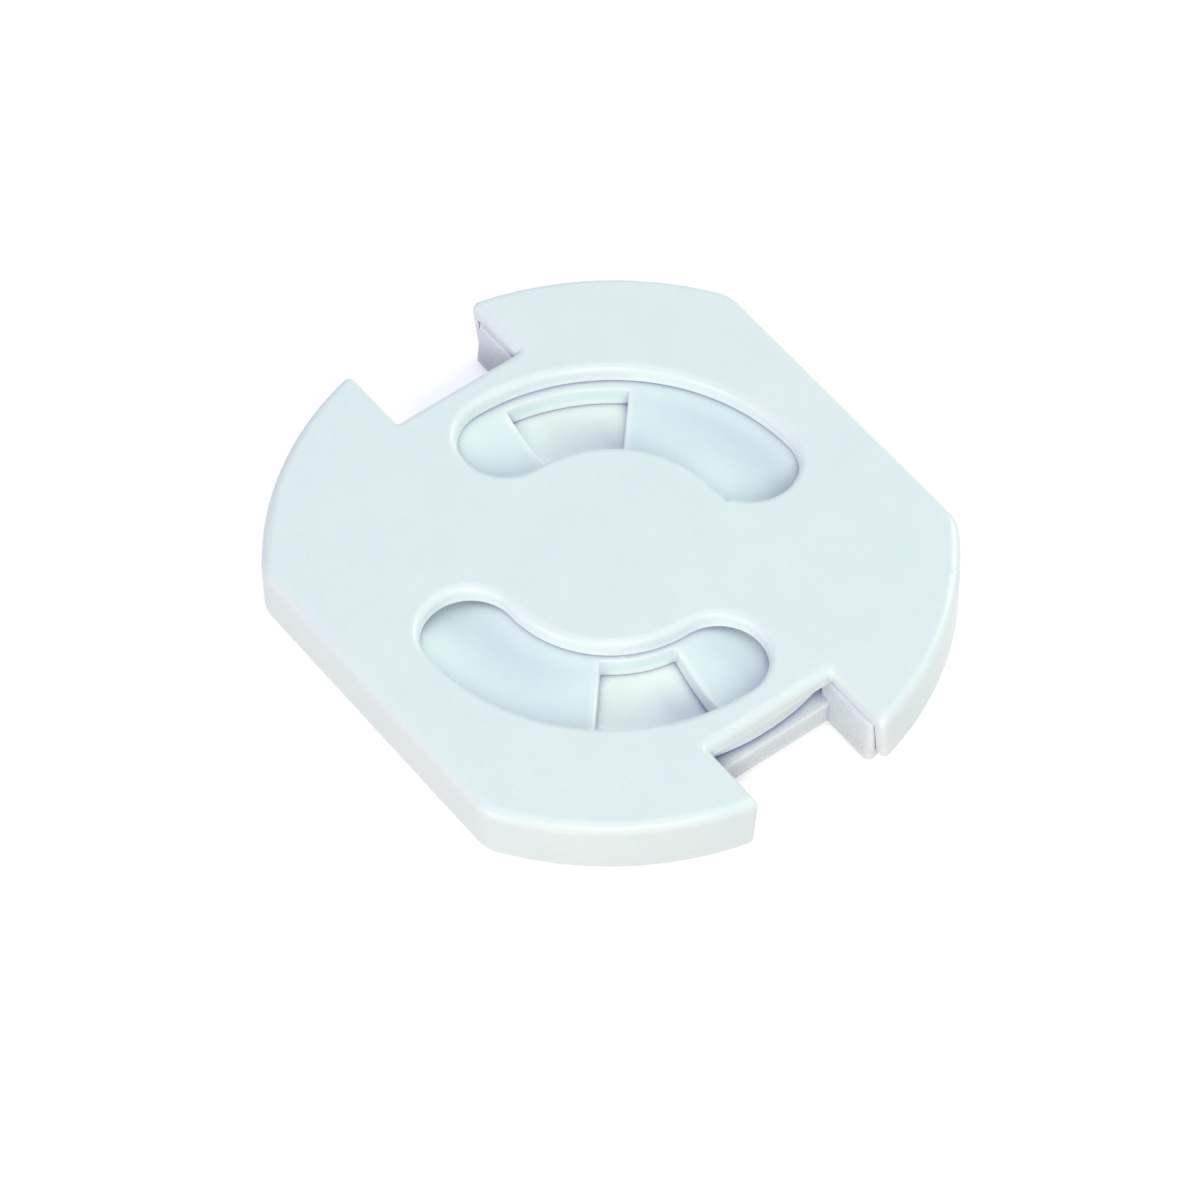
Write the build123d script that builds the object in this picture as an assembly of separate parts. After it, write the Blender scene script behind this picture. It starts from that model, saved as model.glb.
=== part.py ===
from build123d import *
import math
import os

# Outlet safety cover for a round recessed two-pin wall socket.
#
# A flat disc, glued into the recess of the socket. Its front cover has two kidney-shaped windows.
# Behind them a dished shutter turns on a central post. At rest a small torsion spring holds the
# shutter's two openings away from the pin holes in the base. A plug is set into the openings and
# turned until its pins stand over the holes.
#
# Frame: +Z is the front face, Z = 0 the underside of the adhesive pads. The two pin holes lie on the
# X axis and the two earth-clip notches on the Y axis. The centre of the disc is the turning axis.
# All lengths are in millimetres and all angles in degrees.

# Plug that the cover is made for
pin_spacing = 19.0
pin_diameter = 4.8

# Path of the pins: windows in the cover, trough and openings in the shutter, holes in the base
path_outset = 0.16
window_clearance = 0.345
window_start = 0.0
window_sweep = 90.0
window_edge_round = 0.5
trough_margin = 0.155
trough_depth = 0.5
opening_clearance = 0.05
opening_outset = 0.05
opening_centre_angle = 65.0
opening_sweep = 34.0
opening_corner_round = 0.1
opening_edge_round = 0.1
pin_hole_clearance = 0.2
pin_landing_width = 0.25
pin_landing_depth = 0.05

# Shutter
shutter_rim_width = 1.39
shutter_thickness = 1.25
shutter_face_gap = 0.15
shutter_edge_round = 0.12

# Plan of the cover
skirt_thickness = 0.75
shell_clearance = 0.05
flat_depth = 2.91
notch_half_width = 4.1
rim_overhang = 0.25
notch_draft = 4.8
cover_flat_round = 2.2
cover_root_round = 0.12

# Heights of the cover
plate_thickness = 1.0
skirt_lift = 0.35
top_edge_round = 0.6
skirt_edge_round = 0.35

# Base tray and its walls
base_notch_inset = 0.05
base_notch_proud = 0.2
base_tip_round = 0.4
base_flat_round = 0.8
tray_thickness = 1.45
tray_edge_round = 0.12
shutter_lift = 0.15
recess_clearance = 0.3
floor_thickness = 0.6
side_wall_thickness = 1.24
lobe_wall_thickness = 0.8
lobe_pocket_round = 0.35
rib_thickness = 0.7
track_inset = 0.95
track_width = 0.5
track_gap = 0.05

# Pivot, with the cover's pin staked through the base's post
stake_radius = 1.15
stake_clearance = 0.03
stake_head_lip = 0.75
stake_head_thickness = 0.35
stake_head_clearance = 0.06
post_wall_thickness = 1.05
post_clearance = 0.05
shoulder_width = 0.8

# Return spring
wire_diameter = 0.25
coil_clearance = 0.55
coil_pitch = 0.32
coil_whole_turns = 1
coil_floor_gap = 0.05
leg_overhang = 0.25
leg_gap = 0.03
leg_slit_gap = 0.08
base_leg_angle = 140.0

# Turning stops between the shutter and the base
peg_stand_off = 1.65
peg_radius = 0.5
peg_tip_gap = 0.1
peg_rest_angle = 80.0
stop_width = 1.2
stop_height = 0.6
stop_gap = 0.05
hub_pocket_margin = 0.35

# Snap beads between the skirt and the base
bead_height = 0.7
bead_depth = 0.18
bead_root = 0.25
bead_sweep = 16.0
bead_level = 1.23
bead_clearance = 0.04
bead_angle = 58.0

# Adhesive pads
pad_thickness = 0.7
pad_proud = 0.4
pad_width = 6.6
pad_margin = 1.0
pad_sweep = 76.0
pad_corner_round = 1.0
pad_clearance = 0.15

# Radii and half widths that follow from the values above, from the pin circle outwards
pin_circle_radius = pin_spacing / 2
path_radius = pin_circle_radius + path_outset
pin_hole_radius = pin_diameter / 2 + pin_hole_clearance
window_width = pin_diameter + 2 * window_clearance
trough_width = window_width + 2 * trough_margin
trough_inner_radius = path_radius - trough_width / 2
trough_outer_radius = path_radius + trough_width / 2
opening_centre_radius = pin_circle_radius + opening_outset
opening_length = pin_diameter + 2 * opening_clearance
shutter_radius = trough_outer_radius + shutter_rim_width
recess_radius = shutter_radius + recess_clearance
track_radius = shutter_radius - track_inset
base_flat = recess_radius + side_wall_thickness
skirt_inner_flat = base_flat + shell_clearance
cover_flat = skirt_inner_flat + skirt_thickness
cover_radius = cover_flat + flat_depth
skirt_inner_radius = cover_radius - skirt_thickness
base_radius = skirt_inner_radius - shell_clearance
notch_floor = shutter_radius + rim_overhang
base_notch_half = notch_half_width - base_notch_inset
base_notch_floor = notch_floor + base_notch_proud
pad_outer_radius = notch_floor - pad_margin
pad_inner_radius = pad_outer_radius - pad_width

# Radii of the pivot and the spring, from the centre outwards
stake_head_radius = stake_radius + stake_head_lip
post_radius = stake_radius + post_wall_thickness
shoulder_radius = post_radius + shoulder_width
coil_radius = shoulder_radius + coil_clearance + wire_diameter / 2
peg_circle_radius = coil_radius + peg_stand_off
hub_pocket_radius = peg_circle_radius + stop_width / 2 + hub_pocket_margin

# Levels, from the underside of the base upwards
base_bottom = pad_proud
floor_level = base_bottom + floor_thickness
tray_level = base_bottom + tray_thickness
landing_level = tray_level - trough_depth - pin_landing_depth
shutter_bottom = tray_level + shutter_lift
shutter_top = shutter_bottom + shutter_thickness
plate_level = shutter_top + shutter_face_gap
top_level = plate_level + plate_thickness
skirt_bottom = base_bottom + skirt_lift
bead_centre = skirt_bottom + bead_level
stop_level = floor_level + stop_height
coil_bottom = floor_level + coil_floor_gap + wire_diameter / 2

# The shutter turns from rest until its openings lie over the pin holes
shutter_travel = opening_centre_angle

# How near two positions have to be to count as the same
same_place = 1e-6


def polar(radius, angle):
    """The plan position at a radius and an angle from +X."""
    return (radius * math.cos(math.radians(angle)), radius * math.sin(math.radians(angle)))


def half_turn(shape):
    """The shape together with its copy on the far side of the turning axis."""
    return shape + Rot(0, 0, 180) * shape


def flatted_disc(radius, flat, corner_round=0.0):
    """The plan of a disc with two flats across X."""
    face = Circle(radius) & Rectangle(2 * flat, 2 * radius)
    return fillet(face.vertices(), corner_round) if corner_round > 0 else face


def draft_run(height):
    """How far a notch's side leans over a height."""
    return height * math.tan(math.radians(notch_draft))


def notches(floor, low_half, high_half, low, high):
    """The two notches across Y between two levels, each from its floor outwards, with leaning sides."""
    corners = [(-low_half, 0, low), (low_half, 0, low), (high_half, 0, high), (-high_half, 0, high)]
    notch = extrude(make_face(Polyline(*corners, close=True)), cover_radius, dir=(0, 1, 0))
    return half_turn(Pos(0, floor) * notch)


def upright_edges(shape, test):
    """The edges of a shape that run up it and pass a test of their middle."""
    tall = shape.edges().filter_by(lambda e: e.bounding_box().size.Z > plate_thickness)
    return tall.filter_by(lambda e: test(e.center()))


def tip_edges(shape, floor):
    """The corners where the notches' sides meet the round outside."""
    return upright_edges(shape, lambda c: abs(c.X) < base_flat / 2 and abs(c.Y) > floor + skirt_thickness)


def sector(inner_radius, outer_radius, centre_angle, sweep, corner_round=0.0):
    """A piece of a ring, centred on an angle."""
    start = centre_angle - sweep / 2
    end = centre_angle + sweep / 2
    edges = [
        CenterArc((0, 0), outer_radius, start, sweep),
        Line(polar(outer_radius, end), polar(inner_radius, end)),
        CenterArc((0, 0), inner_radius, start, sweep),
        Line(polar(inner_radius, start), polar(outer_radius, start)),
    ]
    face = make_face(edges)
    if corner_round > 0:
        face = fillet(face.vertices(), corner_round)
    return face


def column(face, low, high):
    """A plan face raised between two levels."""
    return Pos(0, 0, low) * extrude(face, high - low)


def ring(inner_radius, outer_radius, low, high):
    """A flat ring between two levels."""
    return column(Circle(outer_radius) - Circle(inner_radius), low, high)


def bead(grow):
    """One ridge inside the skirt, made larger by grow for its groove."""
    inner = skirt_inner_radius - bead_depth - grow
    outer = skirt_inner_radius + bead_root
    rise = bead_height / 2 + grow
    slope = rise * (outer - inner) / (bead_depth + grow)
    points = [(inner, 0, bead_centre), (outer, 0, bead_centre + slope), (outer, 0, bead_centre - slope)]
    profile = make_face(Polyline(*points, close=True))
    sweep = bead_sweep + 2 * math.degrees(grow / skirt_inner_radius)
    return Rot(0, 0, -sweep / 2) * revolve(profile, Axis.Z, sweep)


def beads(grow=0.0):
    """The four ridges, one on each arc of the disc."""
    angles = (bead_angle, 180 - bead_angle, 180 + bead_angle, -bead_angle)
    shapes = [Rot(0, 0, angle) * bead(grow) for angle in angles]
    return shapes[0] + shapes[1] + shapes[2] + shapes[3]


def window():
    """The plan of one kidney-shaped window, with round ends."""
    centre_line = CenterArc((0, 0), path_radius, window_start, window_sweep)
    return SlotArc(centre_line, window_width)


def stake():
    """The cover's central pin, with the head formed on the underside of the base."""
    head_level = base_bottom + stake_head_thickness
    pin = column(Circle(stake_radius), head_level, plate_level)
    return pin + column(Circle(stake_head_radius), base_bottom, head_level)


def make_front_cover():
    """The cap: a plate with two windows, a skirt on the arcs and flats, and a central pin."""
    spread = notch_half_width + draft_run(top_level - skirt_bottom)
    gaps = notches(notch_floor, spread, notch_half_width, skirt_bottom, top_level)
    gaps = fillet(upright_edges(gaps, lambda c: abs(abs(c.Y) - notch_floor) < same_place), cover_root_round)
    cap = column(flatted_disc(cover_radius, cover_flat, cover_flat_round), skirt_bottom, top_level) - gaps
    cap = fillet(cap.faces().sort_by(Axis.Z)[0].edges() + tip_edges(cap, notch_floor), skirt_edge_round)
    cap = fillet(cap.faces().sort_by(Axis.Z)[-1].edges(), top_edge_round)
    cap -= column(flatted_disc(skirt_inner_radius, skirt_inner_flat), skirt_bottom, plate_level)
    cap -= half_turn(column(window(), plate_level - plate_thickness, top_level + plate_thickness))
    rims = cap.faces().sort_by(Axis.Z)[-1].inner_wires().edges()
    cap = fillet(rims, window_edge_round)
    ridges = beads() & column(flatted_disc(cover_radius, cover_flat), skirt_bottom, plate_level)
    return cap + ridges + stake()


def trough_arc(level):
    """The section of the dished path of the pins, sunk below a level."""
    return ThreePointArc((trough_inner_radius, 0, level), (path_radius, 0, level - trough_depth),
                         (trough_outer_radius, 0, level))


def shutter_section():
    """The closed half section of the dished disc, from the hub bore out to the rim."""
    hub = post_radius + post_clearance
    edges = []
    for level in (shutter_top, shutter_bottom):
        edges.append(Line((hub, 0, level), (trough_inner_radius, 0, level)))
        edges.append(trough_arc(level))
        edges.append(Line((trough_outer_radius, 0, level), (shutter_radius, 0, level)))
    for radius in (hub, shutter_radius):
        edges.append(Line((radius, 0, shutter_bottom), (radius, 0, shutter_top)))
    return make_face(edges)


def is_opening_edge(edge):
    """Whether an edge runs round the top of one of the shutter's openings."""
    middle = edge.center()
    radius = math.hypot(middle.X, middle.Y)
    upper = middle.Z > shutter_top - trough_depth - shutter_thickness / 2
    upright = edge.length > shutter_thickness / 2 and edge.bounding_box().size.Z > edge.length * 0.9
    return upper and not upright and abs(radius - opening_centre_radius) < opening_length / 2 + same_place


def make_shutter():
    """The turning disc: a dished ring with two openings, a hub and two stop pegs."""
    disc = revolve(shutter_section(), Axis.Z)
    circles = disc.edges().filter_by(GeomType.CIRCLE)
    rim = circles.filter_by(lambda e: abs(e.radius - shutter_radius) < same_place)
    disc = fillet(rim, shutter_edge_round)
    plan = sector(opening_centre_radius - opening_length / 2, opening_centre_radius + opening_length / 2,
                  opening_centre_angle, opening_sweep, opening_corner_round)
    disc -= half_turn(column(plan, floor_level, top_level))
    disc = fillet(disc.edges().filter_by(is_opening_edge), opening_edge_round)
    peg = Pos(*polar(peg_circle_radius, peg_rest_angle)) * Circle(peg_radius)
    pegs = half_turn(column(peg, floor_level + peg_tip_gap, shutter_bottom))
    return disc + pegs


def trough_cut():
    """The dished ring sunk into the tray, below the shutter's own trough."""
    lid = Polyline((trough_outer_radius, 0, tray_level), (trough_outer_radius, 0, shutter_top),
                   (trough_inner_radius, 0, shutter_top), (trough_inner_radius, 0, tray_level))
    return revolve(make_face([trough_arc(tray_level), lid]), Axis.Z)


def pin_hole():
    """One hole for a pin, with a flat landing round it just below the dished ring."""
    landing = Circle(pin_hole_radius + pin_landing_width)
    return column(Circle(pin_hole_radius), base_bottom, top_level) + column(landing, landing_level, top_level)


def lobe_pockets():
    """The four cored spaces behind the arcs, two in each lobe, split by ribs."""
    wall = lobe_wall_thickness
    plan = Circle(base_radius - wall) & Rectangle(2 * (base_flat - wall), 2 * base_radius)
    plan -= Circle(recess_radius + wall)
    plan -= Rectangle(2 * (base_notch_half + wall), 2 * base_radius)
    for angle in (bead_angle, -bead_angle):
        plan -= Rot(0, 0, angle) * Rectangle(2 * base_radius, rib_thickness)
    pockets = column(plan, floor_level, plate_level)
    return fillet(pockets.edges().filter_by(Axis.Z), lobe_pocket_round)


def stops():
    """The two curved blocks that end the shutter's travel, one with a slit for the spring's leg."""
    margin = math.degrees((peg_radius + stop_gap) / peg_circle_radius)
    start = peg_rest_angle + margin
    end = peg_rest_angle + 180 - shutter_travel - margin
    plan = sector(peg_circle_radius - stop_width / 2, peg_circle_radius + stop_width / 2,
                  (start + end) / 2, end - start)
    blocks = half_turn(column(plan, floor_level, stop_level))
    slit_width = wire_diameter + 2 * leg_slit_gap
    slit = Rot(0, 0, base_leg_angle) * Pos(peg_circle_radius, 0) * Rectangle(2 * stop_width, slit_width)
    return blocks - column(slit, floor_level, stop_level)


def pad_plan(grow=0.0):
    """The plan of one adhesive pad on the +Y side, made larger by grow for its recess."""
    face = sector(pad_inner_radius, pad_outer_radius, 90, pad_sweep, pad_corner_round)
    return offset(face, grow) if grow > 0 else face


def is_ledge(edge):
    """Whether an edge is where the shutter's recess opens into a notch."""
    middle = edge.center()
    on_wall = abs(abs(middle.Y) - base_notch_floor) < same_place
    return on_wall and abs(middle.Z - tray_level) < same_place


def make_base():
    """The tray: a floor with pin holes, a recess for the shutter, open at the notches, and walls."""
    outline = flatted_disc(base_radius, base_flat, base_flat_round)
    tray = column(outline, base_bottom, plate_level)
    tray -= notches(base_notch_floor, base_notch_half - draft_run(plate_level - base_bottom),
                    base_notch_half, base_bottom, plate_level)
    tray = fillet(tip_edges(tray, base_notch_floor), base_tip_round)
    tray -= column(Circle(recess_radius), tray_level, plate_level)
    tray -= notches(0, base_notch_half - draft_run(plate_level - tray_level),
                    base_notch_half, tray_level, plate_level)
    tray = fillet(tray.edges().filter_by(is_ledge), tray_edge_round)
    tray -= trough_cut()
    tray -= column(Circle(hub_pocket_radius), floor_level, top_level)
    tray -= lobe_pockets()
    tray -= beads(bead_clearance)
    tray += ring(track_radius - track_width / 2, track_radius + track_width / 2,
                 tray_level, shutter_bottom - track_gap)
    tray += stops()
    tray += column(Circle(shoulder_radius), floor_level, shutter_bottom - track_gap)
    tray += column(Circle(post_radius), floor_level, plate_level)
    tray -= column(Circle(stake_radius + stake_clearance), base_bottom, plate_level)
    tray -= column(Circle(stake_head_radius + stake_head_clearance), base_bottom,
                   base_bottom + stake_head_thickness)
    tray -= half_turn(Pos(pin_circle_radius, 0) * pin_hole())
    return tray - half_turn(column(pad_plan(pad_clearance), base_bottom, pad_thickness))


def make_spring():
    """A torsion spring round the post, one leg in the base's slit and one against a shutter peg."""
    leg_margin = math.degrees((peg_radius + leg_gap + wire_diameter / 2) / peg_circle_radius)
    shutter_leg_angle = peg_rest_angle - leg_margin
    turns = coil_whole_turns + ((shutter_leg_angle - base_leg_angle) % 360) / 360
    rise = turns * coil_pitch
    helix = Helix(coil_pitch, rise, coil_radius, center=(0, 0, coil_bottom))
    start = Plane(origin=helix @ 0, z_dir=helix % 0)
    coil = sweep(start * Circle(wire_diameter / 2), path=helix, is_frenet=True)
    coil = Rot(0, 0, base_leg_angle) * coil
    reach = peg_stand_off + leg_overhang
    for angle, level in ((base_leg_angle, coil_bottom), (shutter_leg_angle, coil_bottom + rise)):
        foot = Pos(*polar(coil_radius, angle), level)
        leg = Cylinder(wire_diameter / 2, reach, align=(Align.CENTER, Align.CENTER, Align.MIN))
        coil += foot * Rot(0, 0, angle) * Rot(0, 90, 0) * leg
        coil += foot * Sphere(wire_diameter / 2)
    return coil


def make_pad():
    """One foam adhesive pad, on the +Y side."""
    return column(pad_plan(), 0, pad_thickness)


def build():
    """Every separate piece, by name."""
    pad = make_pad()
    return {
        "front_cover": make_front_cover(),
        "shutter_disc": make_shutter(),
        "base_tray": make_base(),
        "return_spring": make_spring(),
        "adhesive_pad_top": pad,
        "adhesive_pad_bottom": Rot(0, 0, 180) * pad,
    }


os.makedirs("parts", exist_ok=True)
for name, piece in build().items():
    export_step(piece, f"parts/{name}.step")
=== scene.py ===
import math

import bpy
from mathutils import Matrix, Vector

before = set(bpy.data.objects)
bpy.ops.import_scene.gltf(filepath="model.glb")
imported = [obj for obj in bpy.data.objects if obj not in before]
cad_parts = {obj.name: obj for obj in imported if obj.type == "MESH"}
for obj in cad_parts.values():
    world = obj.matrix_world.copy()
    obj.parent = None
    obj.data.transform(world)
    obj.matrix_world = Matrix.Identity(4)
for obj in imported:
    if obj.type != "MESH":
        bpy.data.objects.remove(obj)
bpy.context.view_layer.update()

MM = 0.001


def srgb(red, green, blue):
    """A display colour of 0 to 255 a channel, as linear red, green, blue and alpha."""
    channels = [value / 255 for value in (red, green, blue)]
    linear = [
        value / 12.92 if value <= 0.04045 else ((value + 0.055) / 1.055) ** 2.4
        for value in channels
    ]
    return (*linear, 1)


# Camera, fitted to the outline in the photograph; angles in degrees, lens and sensor in mm
camera_azimuth = -36.232
camera_elevation = 52.723
camera_roll = -1.164
camera_distance = 363.41 * MM
camera_right = -0.649 * MM
camera_up = -0.663 * MM
camera_lens = 197.0
sensor_width = 36.0
camera_near = 0.01
camera_far = 10

# The fit counts heights from the base's underside, which the pads hold off the ground
base_level = 0.4 * MM

# Surroundings: the light that they give, and the white that the camera sees
ambient_colour = (0.69, 0.67, 1.0, 1)
ambient_strength = 0.58
white = (1, 1, 1, 1)
backdrop_strength = 1.0

# The floor lies a hair below the pads, so that their faces don't share one plane
floor_level = -0.02 * MM
floor_half = 3.0
floor_lit = (0.62, 0.53, 0.5, 1)
floor_paper = (0.8, 0.8, 0.8, 1)
floor_lift = 0.55

# Square lamps that face the object: name, position and side in metres, watts and colour
lamps = [
    ("top", (0.03, 0.0, 0.5), 0.35, 0.26, (0.58, 0.97, 0.46)),
    ("side", (-0.478, -0.055, 0.121), 0.2, 0.55, (1.0, 0.9, 0.78)),
    ("front", (-0.206, -0.341, 0.301), 0.18, 1.1, (0.95, 0.99, 0.74)),
    ("rim", (0.43, 0.035, 0.25), 0.2, 0.93, (0.9, 0.99, 0.68)),
]

# Faint cloudiness of the plastic: a broad noise and a fine one are added, and the span is the
# part of their sum over which the shade turns into the colour
cloud_scale = 260.0
cloud_detail = 12.0
cloud_roughness = 0.62
fine_scale = 8500.0
fine_detail = 1.0
cloud_span = (0.6, 1.4)

# Painted shade and highlight: corners turn to a painted shade colour and sharp edges get a
# painted highlight of white; each is found from the share of rays that get further than its reach
occlusion_samples = 8
painted_crevice_shade = srgb(158, 160, 208)
crevice_reach = 0.9 * MM
crevice_span = (0.15, 0.68)
# White for the painted highlights on sharp edges and the painted glints, and for the whitened
# gate mark
gate_white_and_painted_highlight = srgb(255, 255, 255)
edge_reach = 0.5 * MM
edge_span = (0.75, 0.97)
edge_cover = 0.45

# Grain of the moulding, in its relief and in its gloss
grain_detail = 2.0
grain_strength = 0.35
gloss_below = 0.06
gloss_above = 0.08

# Light that enters the plastic and leaves it close by
scatter_weight = 0.08
scatter_radius = (1.0, 0.9, 0.9)
scatter_scale = 0.35 * MM

# Drawn wire
wire_colour = srgb(196, 198, 202)
wire_scale = 9000.0
wire_roughness = (0.2, 0.38)

# Closed-cell foam
foam_colour = srgb(240, 240, 236)
foam_roughness = 0.85
cell_scale = 6500.0
cell_strength = 0.6
cell_depth = 0.05 * MM
cell_tone = (0.86, 0.96)

# Marks that the photograph shows, with centre and radius in mm: on the cover the painted shade of
# a dent at the inner edge of a window, a dark speck on the lower edge and a whitened gate mark on
# a flat's edge; on the shutter painted glints; on the base its floor, painted lighter where the
# recess lies in shade, and painted glints on that
# Painted shade of a small dent at a window's inner edge
painted_dent_shade = srgb(206, 226, 238)
speck = srgb(120, 124, 140)
painted_floor_light = srgb(248, 255, 254)
cover_marks = [
    dict(colour=painted_dent_shade, centre=(7.0, -1.46, 4.4), radius=0.3),
    dict(colour=speck, centre=(4.35, -18.92, 4.2), radius=0.09),
    dict(colour=gate_white_and_painted_highlight, centre=(15.9, 2.42, 4.1), radius=0.3),
]
# Painted glints: bright specks where the shutter's surface catches the light
shutter_marks = [
    dict(colour=gate_white_and_painted_highlight, centre=(6.68, 6.78, 2.95), radius=0.12),
    dict(colour=gate_white_and_painted_highlight, centre=(6.22, 6.18, 2.95), radius=0.1),
    dict(colour=gate_white_and_painted_highlight, centre=(6.99, 6.72, 2.95), radius=0.1),
]
base_marks = [
    # Painted light: the base's floor inside the recess is made lighter where it lies in shade
    dict(colour=painted_floor_light, centre=(0, 0, 2.8), radius=14.4, soft=0.03, flatness=6.0),
    # Painted glints on the base's floor
    dict(colour=gate_white_and_painted_highlight, centre=(2.13, 8.96, 1.5), radius=0.1),
    dict(colour=gate_white_and_painted_highlight, centre=(2.13, 8.59, 1.5), radius=0.1),
    dict(colour=gate_white_and_painted_highlight, centre=(2.46, 9.88, 1.5), radius=0.1),
]


class Nodes:
    """A short way to build one node tree.

    An input is given by its name or its number, and its value is a constant or a node's output.
    """

    def __init__(self, tree):
        self.tree = tree
        tree.nodes.clear()

    def add(self, kind, settings=None, inputs=None):
        node = self.tree.nodes.new(kind)
        for name, value in (settings or {}).items():
            setattr(node, name, value)
        for name, value in (inputs or {}).items():
            if isinstance(value, bpy.types.NodeSocket):
                self.tree.links.new(value, node.inputs[name])
            else:
                node.inputs[name].default_value = value
        return node

    def place(self):
        """Where a point is, in the object's own frame."""
        return self.add("ShaderNodeTexCoord").outputs["Object"]

    def noise(self, place, scale, detail, roughness=0.5):
        return self.add("ShaderNodeTexNoise", inputs={
            "Vector": place, "Scale": scale, "Detail": detail, "Roughness": roughness,
        }).outputs["Fac"]

    def occlusion(self, reach, inside=False):
        """The open share of what lies round a point, or inside the solid below it."""
        return self.add(
            "ShaderNodeAmbientOcclusion", {"samples": occlusion_samples, "inside": inside},
            {"Distance": reach},
        ).outputs["AO"]

    def carry(self, value, source=(0.0, 1.0), target=(0.0, 1.0)):
        """A value carried from the source range to the target range, and kept inside that."""
        return self.add("ShaderNodeMapRange", inputs={
            "Value": value, "From Min": source[0], "From Max": source[1],
            "To Min": target[0], "To Max": target[1],
        }).outputs["Result"]

    def blend(self, factor, first, second, blend_type="MIX"):
        """The second colour over the first."""
        return self.add("ShaderNodeMix", {"data_type": "RGBA", "blend_type": blend_type}, {
            "Factor": factor, "A": first, "B": second,
        }).outputs["Result"]

    def bump(self, height, strength, distance):
        return self.add("ShaderNodeBump", inputs={
            "Height": height, "Strength": strength, "Distance": distance,
        }).outputs["Normal"]

    def diffuse(self, colour):
        return self.add("ShaderNodeBsdfDiffuse", inputs={"Color": colour}).outputs[0]

    def mix_shader(self, factor, first, second):
        return self.add("ShaderNodeMixShader", inputs={0: factor, 1: first, 2: second}).outputs[0]

    def principled(self, inputs):
        """Ends a material with one principled shader."""
        shader = self.add("ShaderNodeBsdfPrincipled", inputs=inputs)
        self.add("ShaderNodeOutputMaterial", inputs={"Surface": shader.outputs["BSDF"]})


def new_material(name):
    """An empty material, and its nodes to build."""
    material = bpy.data.materials.new(name)
    material.use_nodes = True
    return material, Nodes(material.node_tree)


def mark(nodes, place, under, colour, centre, radius, soft=0.5, flatness=1.0):
    """A spot of another colour round one point of the part, that fades over its outer share.

    With a flatness above 1 the spot is a disc that is thinner than it is wide by that factor.
    """
    stretch = (1, 1, flatness)
    middle = tuple(value * factor * MM for value, factor in zip(centre, stretch))
    stretched = nodes.add("ShaderNodeVectorMath", {"operation": "MULTIPLY"}, {
        0: place, 1: stretch})
    apart = nodes.add("ShaderNodeVectorMath", {"operation": "DISTANCE"}, {
        0: stretched.outputs["Vector"], 1: middle})
    share = nodes.carry(
        apart.outputs["Value"], ((1 - soft) * radius * MM, radius * MM), (1.0, 0.0))
    return nodes.blend(share, under, colour)


def moulded_plastic(name, colour, shade, grain_scale, grain_depth, roughness, marks):
    """Satin moulded plastic: a faint cloudiness, a fine grain and its few small marks, with
    painted shade in corners and a painted highlight on sharp edges.
    """
    material, nodes = new_material(name)
    place = nodes.place()
    clouds = nodes.add("ShaderNodeMath", {"operation": "ADD"}, {
        0: nodes.noise(place, cloud_scale, cloud_detail, cloud_roughness),
        1: nodes.noise(place, fine_scale, fine_detail)})
    surface = nodes.blend(nodes.carry(clouds.outputs[0], cloud_span), shade, colour)
    # Painted highlight: sharp edges, found from rays cast into the solid, are lightened towards
    # white
    painted_edge_highlight = nodes.carry(nodes.occlusion(edge_reach, inside=True), edge_span, (edge_cover, 0.0))
    surface = nodes.blend(painted_edge_highlight, surface, gate_white_and_painted_highlight)
    for spot in marks:
        surface = mark(nodes, place, surface, **spot)
    # Painted shade: corners, crevices and recesses turn towards the painted shade colour
    open_share = nodes.carry(nodes.occlusion(crevice_reach), crevice_span)
    grain = nodes.noise(place, grain_scale, grain_detail)
    nodes.principled({
        "Base Color": nodes.blend(open_share, painted_crevice_shade, surface),
        "Roughness": nodes.carry(
            grain, target=(roughness - gloss_below, roughness + gloss_above)),
        "Normal": nodes.bump(grain, grain_strength, grain_depth),
        "Subsurface Weight": scatter_weight,
        "Subsurface Radius": scatter_radius,
        "Subsurface Scale": scatter_scale,
    })
    return material


def spring_steel():
    """Bright drawn wire with a slightly uneven gloss."""
    material, nodes = new_material("spring_steel")
    drawn = nodes.noise(nodes.place(), wire_scale, grain_detail)
    nodes.principled({
        "Base Color": wire_colour,
        "Metallic": 1.0,
        "Roughness": nodes.carry(drawn, target=wire_roughness),
    })
    return material


def foam():
    """White foam with fine closed cells."""
    material, nodes = new_material("adhesive_foam")
    cells = nodes.add("ShaderNodeTexVoronoi", inputs={
        "Vector": nodes.place(), "Scale": cell_scale}).outputs["Distance"]
    tone = nodes.carry(cells, target=cell_tone)
    nodes.principled({
        "Base Color": nodes.blend(1.0, foam_colour, tone, "MULTIPLY"),
        "Roughness": foam_roughness,
        "Normal": nodes.bump(cells, cell_strength, cell_depth),
    })
    return material


def dress(names, material):
    """Gives the nodes one material, in one slot each."""
    for name in names:
        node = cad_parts[name]
        node.data.materials.clear()
        node.data.materials.append(material)


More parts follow.
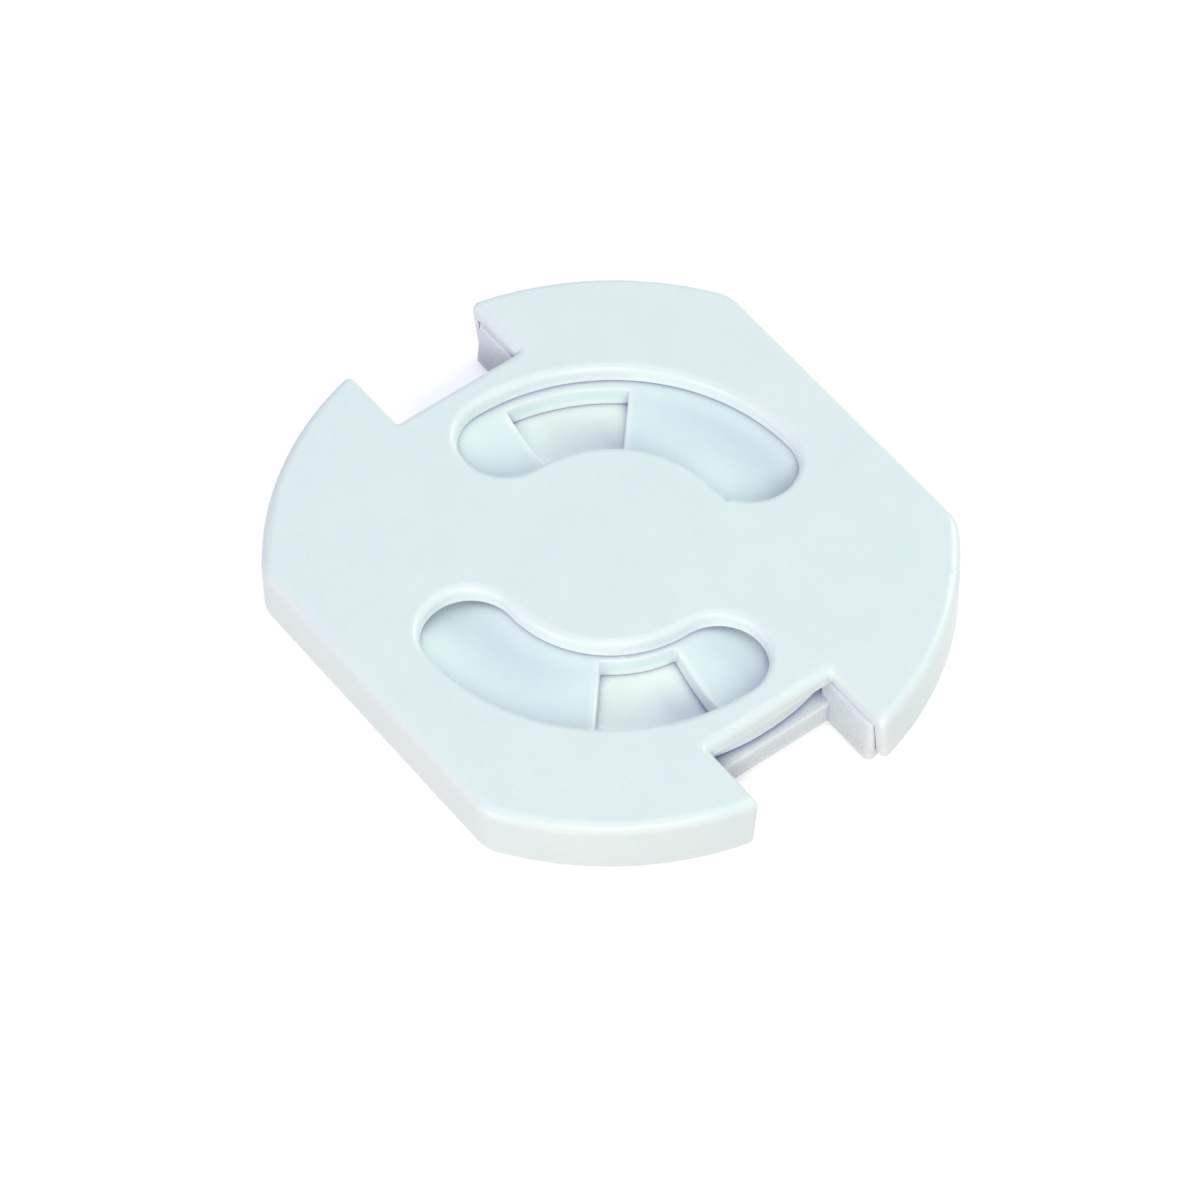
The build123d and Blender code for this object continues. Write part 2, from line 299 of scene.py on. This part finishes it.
def make_camera():
    """The camera that took the photograph, in the part's own frame."""
    azimuth = math.radians(camera_azimuth)
    elevation = math.radians(camera_elevation)
    roll = math.radians(camera_roll)
    back = Vector((
        math.sin(azimuth) * math.cos(elevation),
        -math.cos(azimuth) * math.cos(elevation),
        math.sin(elevation),
    ))
    level_right = Vector((math.cos(azimuth), math.sin(azimuth), 0))
    level_up = level_right.cross(-back)
    right = math.cos(roll) * level_right + math.sin(roll) * level_up
    up = math.cos(roll) * level_up - math.sin(roll) * level_right
    data = bpy.data.cameras.new("camera")
    data.lens = camera_lens
    data.sensor_width = sensor_width
    data.clip_start = camera_near
    data.clip_end = camera_far
    camera = bpy.data.objects.new("camera", data)
    place = (
        back * camera_distance + right * camera_right + up * camera_up
        + Vector((0, 0, base_level))
    )
    turn = Matrix((right, up, back)).transposed().to_4x4()
    camera.matrix_world = Matrix.Translation(place) @ turn
    bpy.context.scene.collection.objects.link(camera)
    bpy.context.scene.camera = camera


def area_light(name, position, size, power, colour):
    """A square soft light that faces the object."""
    data = bpy.data.lights.new(name, "AREA")
    data.size = size
    data.energy = power
    data.color = colour
    light = bpy.data.objects.new(name, data)
    light.location = position
    light.rotation_mode = "QUATERNION"
    light.rotation_quaternion = (-Vector(position)).to_track_quat("-Z", "Y")
    bpy.context.scene.collection.objects.link(light)


def seen_ray(nodes):
    """One for rays that show a surface: to the camera, in a reflection or through glass."""
    path = nodes.add("ShaderNodeLightPath")
    seen = path.outputs["Is Camera Ray"]
    for other in ("Is Glossy Ray", "Is Transmission Ray"):
        seen = nodes.add("ShaderNodeMath", {"operation": "MAXIMUM"}, {
            0: seen, 1: path.outputs[other]}).outputs[0]
    return seen


def make_world():
    """Cool light from all round, behind a backdrop that is seen as white."""
    world = bpy.data.worlds.new("studio")
    world.use_nodes = True
    bpy.context.scene.world = world
    nodes = Nodes(world.node_tree)
    ambient = nodes.add("ShaderNodeBackground", inputs={
        "Color": ambient_colour, "Strength": ambient_strength})
    backdrop = nodes.add("ShaderNodeBackground", inputs={
        "Color": white, "Strength": backdrop_strength})
    mixed = nodes.mix_shader(seen_ray(nodes), ambient.outputs[0], backdrop.outputs[0])
    nodes.add("ShaderNodeOutputWorld", inputs={"Surface": mixed})


def make_floor():
    """A wide pale floor under the pads, seen as white apart from the object's shadow."""
    mesh = bpy.data.meshes.new("floor")
    corners = [
        (side * floor_half, end * floor_half, floor_level)
        for side, end in ((-1, -1), (1, -1), (1, 1), (-1, 1))
    ]
    mesh.from_pydata(corners, [], [(0, 1, 2, 3)])
    floor = bpy.data.objects.new("floor", mesh)
    bpy.context.scene.collection.objects.link(floor)
    material, nodes = new_material("floor")
    lift = nodes.add("ShaderNodeEmission", inputs={"Color": white, "Strength": floor_lift})
    shown = nodes.add("ShaderNodeAddShader", inputs={
        0: nodes.diffuse(floor_paper), 1: lift.outputs[0]})
    mixed = nodes.mix_shader(seen_ray(nodes), nodes.diffuse(floor_lit), shown.outputs[0])
    nodes.add("ShaderNodeOutputMaterial", inputs={"Surface": mixed})
    mesh.materials.append(material)


dress(["front_cover"], moulded_plastic(
    "cover_plastic", colour=srgb(234, 244, 244), shade=srgb(224, 238, 240),
    grain_scale=5200.0, grain_depth=0.02 * MM, roughness=0.31, marks=cover_marks))
dress(["shutter_disc"], moulded_plastic(
    "shutter_plastic", colour=srgb(234, 246, 248), shade=srgb(226, 241, 245),
    grain_scale=4800.0, grain_depth=0.015 * MM, roughness=0.3, marks=shutter_marks))
dress(["base_tray"], moulded_plastic(
    "base_plastic", colour=srgb(230, 237, 242), shade=srgb(222, 231, 238),
    grain_scale=9000.0, grain_depth=0.01 * MM, roughness=0.26, marks=base_marks))
dress(["return_spring"], spring_steel())
dress(["adhesive_pad_top", "adhesive_pad_bottom"], foam())

make_camera()
make_world()
make_floor()
for lamp in lamps:
    area_light(*lamp)

bpy.context.scene.view_settings.view_transform = "Standard"
